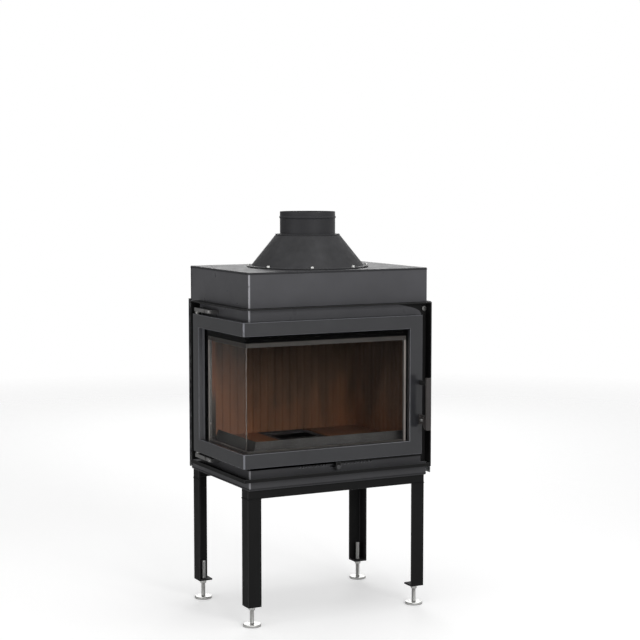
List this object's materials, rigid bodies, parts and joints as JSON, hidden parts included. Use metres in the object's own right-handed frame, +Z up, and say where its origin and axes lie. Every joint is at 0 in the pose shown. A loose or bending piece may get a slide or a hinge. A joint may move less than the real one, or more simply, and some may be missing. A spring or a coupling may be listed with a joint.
{
  "type": "corner fireplace insert",
  "caption": "Corner wood fireplace insert on legs, with an L-shaped glazed door hinged at its rear left, tilting handle, sliding air control, lined firebox and top flue collar.",
  "frame": {"origin": "on the floor, under the middle of the overall box", "axes": "+Z up along the flue, +X to the right seen from the front, -Y towards the room at the front door"},
  "size_m": [0.5976, 0.4905, 1.12],
  "materials": {
    "door_paint": "satin stove paint",
    "frame_paint": "satin stove paint",
    "black_paint": "matt stove paint",
    "casing_steel": "matt stove paint",
    "cast_iron": "cast, heat darkened",
    "galvanised": "zinc coated sheet",
    "zinc": "zinc plated",
    "bright_steel": "oiled bright steel",
    "trim_steel": "heat tinted steel",
    "fireclay": "fired clay, smoke stained",
    "glass": "clear ceramic glass",
    "rope_seal": "glass fibre tape"
  },
  "bodies": {
    "body": {"header_front": "frame_paint", "header_side": "frame_paint", "sill_front": "frame_paint", "sill_side": "frame_paint", "right_jamb": "black_paint", "left_wall": "black_paint", "flange_bottom": "black_paint", "flange_top": "black_paint", "flange_sides": "black_paint", "header_gusset": "black_paint", "base_rails": "black_paint", "leg_front_left": "black_paint", "leg_front_right": "black_paint", "leg_rear_left": "black_paint", "leg_rear_right": "black_paint", "right_wall": "casing_steel", "back_wall": "casing_steel", "bottom_plate": "casing_steel", "top_plate": "casing_steel", "base_plate": "casing_steel", "flue_collar": "casing_steel", "upper_baffle": "casing_steel", "baffle_ledges": "casing_steel", "air_spigot": "casing_steel", "shutter_guides": "casing_steel", "smoke_dome": "cast_iron", "log_guard_front": "cast_iron", "log_guard_side": "cast_iron", "rear_shield": "galvanised", "right_shield": "galvanised", "shield_spacers": "galvanised", "frame_bolts": "zinc", "levelling_feet": "zinc", "hinge_arms": "bright_steel", "hinge_pins": "bright_steel", "latch_striker": "bright_steel", "hearth_slabs": "fireclay", "liner_back": "fireclay", "liner_right": "fireclay", "liner_left": "fireclay", "lower_baffle": "fireclay"},
    "door": {"door_top_rail": "door_paint", "door_bottom_rail": "door_paint", "door_latch_stile": "door_paint", "door_hinge_stile": "door_paint", "front_glass": "glass", "side_glass": "glass", "glass_retainer_top": "trim_steel", "glass_retainer_bottom": "trim_steel", "glass_retainer_sides": "trim_steel", "door_gasket": "rope_seal", "hinge_bushes": "bright_steel", "handle_bracket": "door_paint"},
    "handle": {"handle_bar": "door_paint", "handle_shaft": "zinc", "latch_arm": "bright_steel"},
    "air_control": {"air_shutter": "casing_steel", "air_knob": "black_paint"},
    "grate": {"grate": "cast_iron"},
    "ash_pan": {"ash_pan": "galvanised"}
  },
  "joints": [
    {"name": "door_swing", "type": "hinge", "parent": "body", "child": "door", "pos_m": [-0.28675, 0.13375, 0.64], "axis": [0, 0, -1], "range_deg": [0, 95]},
    {"name": "handle_tilt", "type": "hinge", "parent": "door", "child": "handle", "pos_m": [0.24475, -0.21425, 0.5415], "axis": [1, 0, 0], "range_deg": [0, 20]},
    {"name": "air_slide", "type": "slide", "parent": "body", "child": "air_control", "axis": [1, 0, 0], "range_m": [-0.015, 0.015]},
    {"name": "grate_lift", "type": "slide", "parent": "body", "child": "grate", "axis": [0, 0, 1], "range_m": [0, 0.12]},
    {"name": "ash_pan_lift", "type": "slide", "parent": "body", "child": "ash_pan", "axis": [0, 0, 1], "range_m": [0, 0.12]}
  ],
  "couplings": [
    {"joint": "ash_pan_lift", "follows": "grate_lift", "ratio": 1}
  ]
}
